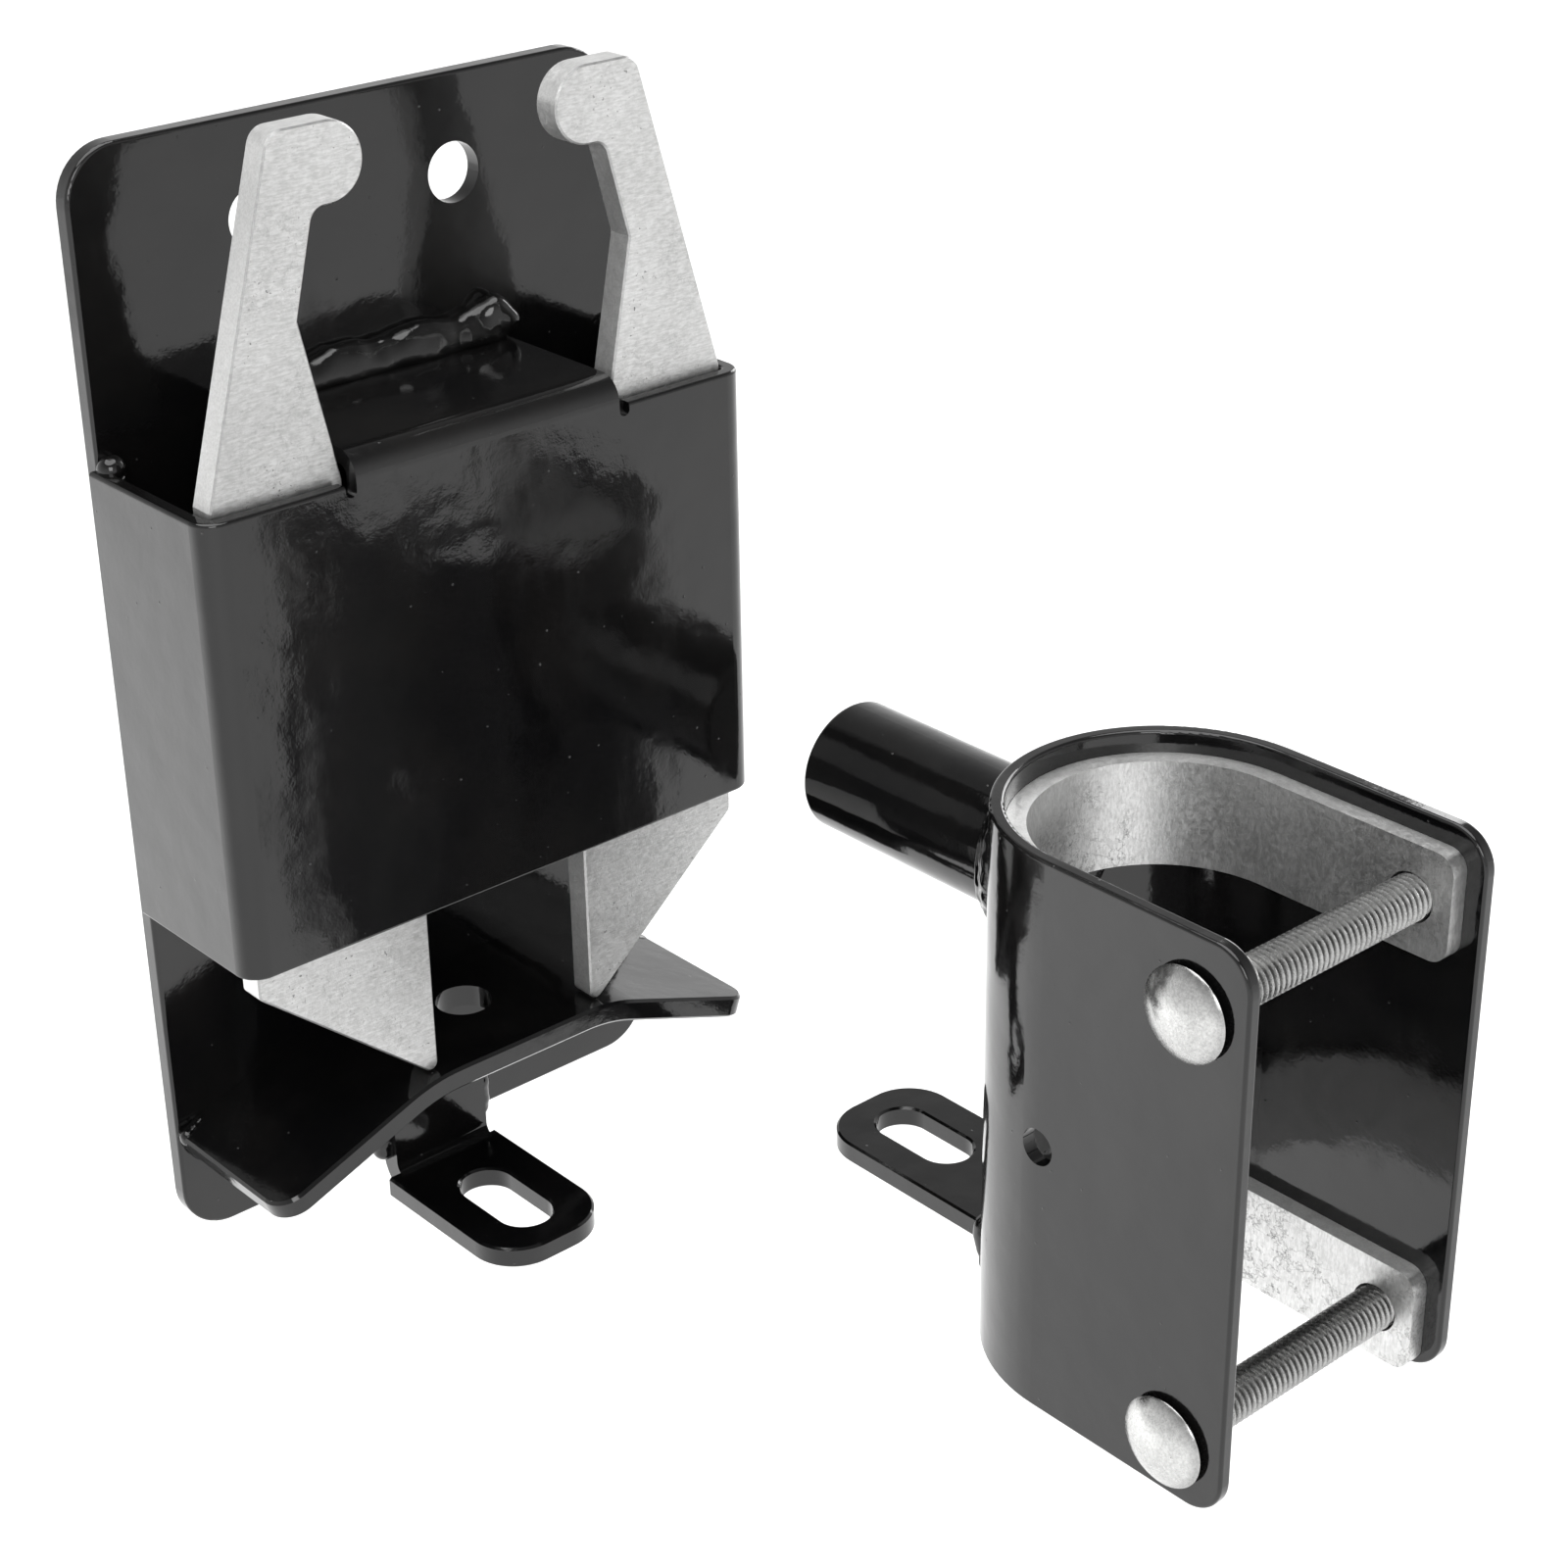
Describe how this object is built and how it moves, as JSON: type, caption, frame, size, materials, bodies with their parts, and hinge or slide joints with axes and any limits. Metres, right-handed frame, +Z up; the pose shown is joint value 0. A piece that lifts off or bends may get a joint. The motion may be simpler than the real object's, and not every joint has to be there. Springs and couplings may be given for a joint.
{
  "type": "two-way gate latch",
  "caption": "Gravity latch for a tube gate: a post plate and housing with drop fingers over a bent ramp, and a U clamp with a striker pin and padlock tabs.",
  "frame": {"origin": "centre of the back plate's mounting face, which lies against the post", "axes": "+Z up; +Y out of the mounting face into the post; -Y towards the gate bracket; +X along the plate's width, the way the gate bracket travels"},
  "size_m": [0.1521, 0.163, 0.2087],
  "materials": {
    "black_coat": "gloss black powder coat",
    "black_weld": "gloss black powder coat over weld",
    "zinc_finger": "mottled zinc plate",
    "zinc_strap": "zinc plate",
    "zinc_fastener": "zinc plate"
  },
  "bodies": {
    "post_latch": {"back_plate": "black_coat", "housing_shell": "black_coat", "finger_guide_plate": "black_coat", "centre_spacer": "black_coat", "ramp_plate": "black_coat", "latch_lock_tab": "black_coat", "flap_weld": "black_weld", "left_housing_weld": "black_weld", "right_housing_weld": "black_weld", "guide_welds": "black_weld", "ramp_welds": "black_weld", "lock_tab_welds": "black_weld"},
    "left_finger_body": {"left_finger": "zinc_finger"},
    "right_finger_body": {"right_finger": "zinc_finger"},
    "gate_bracket": {"clamp_shell": "black_coat", "striker_pin": "black_coat", "striker_weld": "black_weld", "clamp_lock_tab": "black_coat", "clamp_tab_weld": "black_weld", "lower_strap": "zinc_strap", "lower_carriage_bolt": "zinc_fastener", "lower_nut": "zinc_fastener", "lower_washer": "zinc_fastener", "upper_strap": "zinc_strap", "upper_carriage_bolt": "zinc_fastener", "upper_nut": "zinc_fastener", "upper_washer": "zinc_fastener"}
  },
  "joints": [
    {"name": "left_finger_lift", "type": "slide", "parent": "post_latch", "child": "left_finger_body", "axis": [0, 0, 1], "range_m": [0, 0.024]},
    {"name": "right_finger_lift", "type": "slide", "parent": "post_latch", "child": "right_finger_body", "axis": [0, 0, 1], "range_m": [0, 0.024]},
    {"name": "gate_travel", "type": "slide", "parent": "post_latch", "child": "gate_bracket", "axis": [1, 0, 0], "range_m": [-0.128, 0.06]}
  ]
}
